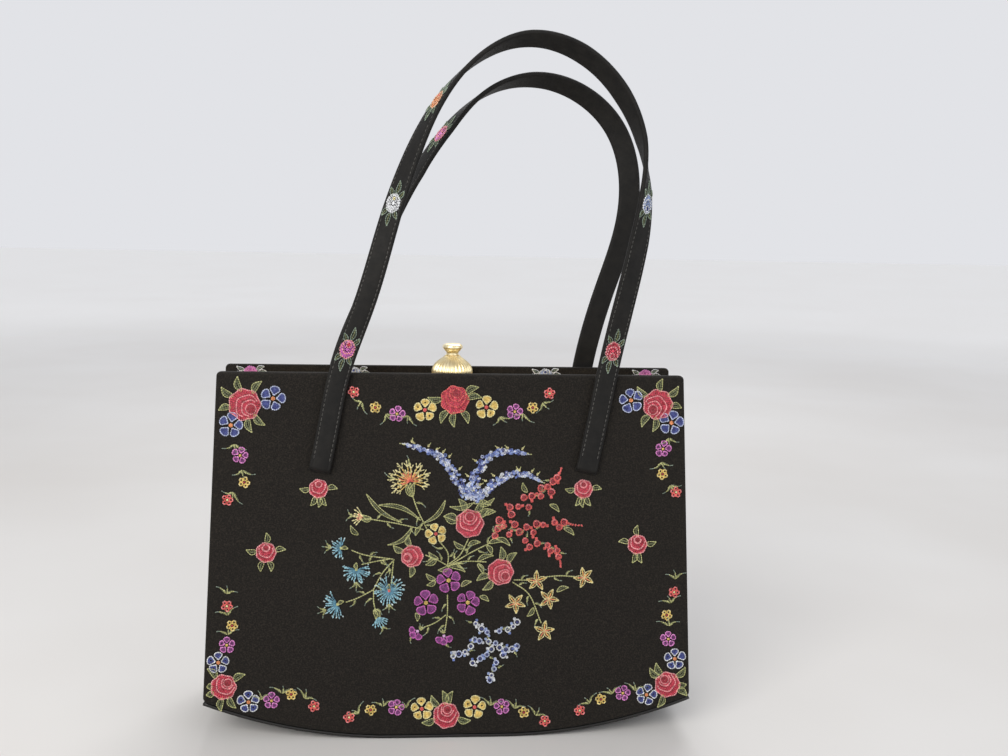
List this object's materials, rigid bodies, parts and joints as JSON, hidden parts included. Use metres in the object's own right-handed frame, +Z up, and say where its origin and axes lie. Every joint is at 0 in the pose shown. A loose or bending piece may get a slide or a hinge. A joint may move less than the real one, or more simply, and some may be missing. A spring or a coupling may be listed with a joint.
{
  "type": "framed evening handbag",
  "caption": "Small framed evening handbag with stiff fabric-covered panels, floral embroidery, a push-knob frame clasp and strap handles.",
  "frame": {"origin": "middle of the flat stretch of the base that the bag stands on", "axes": "+X to the bag's left-to-right as seen from the front, +Y from front to back, +Z up"},
  "size_m": [0.2408, 0.072, 0.3415],
  "materials": {
    "crepe": "matt black crepe",
    "satin": "black satin, stitched",
    "lining": "black satin lining",
    "board": "pressed grey-brown board",
    "gilt_frame": "gilt, polished",
    "gilt_clasp": "pale gilt, polished",
    "plated_metal": "plain plated",
    "red_thread": "glossy embroidery silk",
    "dark_red_thread": "glossy embroidery silk",
    "purple_thread": "glossy embroidery silk",
    "blue_thread": "glossy embroidery silk",
    "teal_thread": "glossy embroidery silk",
    "yellow_thread": "glossy embroidery silk",
    "green_thread": "glossy embroidery silk"
  },
  "bodies": {
    "base": {"base_strip": "crepe", "front_piping": "satin", "rear_piping": "satin", "left_gusset": "lining", "right_gusset": "lining"},
    "front_panel": {"front_cover": "crepe", "front_board": "board", "front_lining": "lining", "front_strap": "satin", "front_strap_anchors": "plated_metal", "red_embroidery": "red_thread", "rose_heart_embroidery": "dark_red_thread", "purple_embroidery": "purple_thread", "blue_embroidery": "blue_thread", "teal_embroidery": "teal_thread", "yellow_embroidery": "yellow_thread", "green_embroidery": "green_thread"},
    "rear_panel": {"rear_cover": "crepe", "rear_board": "board", "rear_lining": "lining", "rear_strap": "satin", "rear_strap_anchors": "plated_metal"},
    "front_frame": {"front_frame": "gilt_frame", "catch_fork": "plated_metal"},
    "rear_frame": {"rear_frame": "gilt_frame", "hinge_pins": "gilt_frame", "clasp_dome": "gilt_clasp"},
    "clasp_knob": {"clasp_knob": "gilt_clasp"}
  },
  "joints": [
    {"name": "front_panel_tilt", "type": "hinge", "parent": "base", "child": "front_panel", "pos_m": [0, -0.036, 0.0023], "axis": [1, 0, 0], "range_deg": [0, 8.4]},
    {"name": "rear_panel_tilt", "type": "hinge", "parent": "base", "child": "rear_panel", "pos_m": [0, 0.036, 0.0023], "axis": [-1, 0, 0], "range_deg": [0, 8.4]},
    {"name": "front_frame_hinge", "type": "hinge", "parent": "base", "child": "front_frame", "pos_m": [0, 0, 0.125], "axis": [1, 0, 0], "range_deg": [0, 30]},
    {"name": "rear_frame_hinge", "type": "hinge", "parent": "base", "child": "rear_frame", "pos_m": [0, 0, 0.125], "axis": [-1, 0, 0], "range_deg": [0, 30]},
    {"name": "clasp_knob_press", "type": "slide", "parent": "rear_frame", "child": "clasp_knob", "axis": [0, 0, -1], "range_m": [0, 0.0015], "stiffness_N_per_m": 400, "springref_m": -0.001}
  ],
  "couplings": [
    {"joint": "front_frame_hinge", "follows": "front_panel_tilt", "ratio": 3.5714},
    {"joint": "rear_frame_hinge", "follows": "rear_panel_tilt", "ratio": 3.5714}
  ]
}
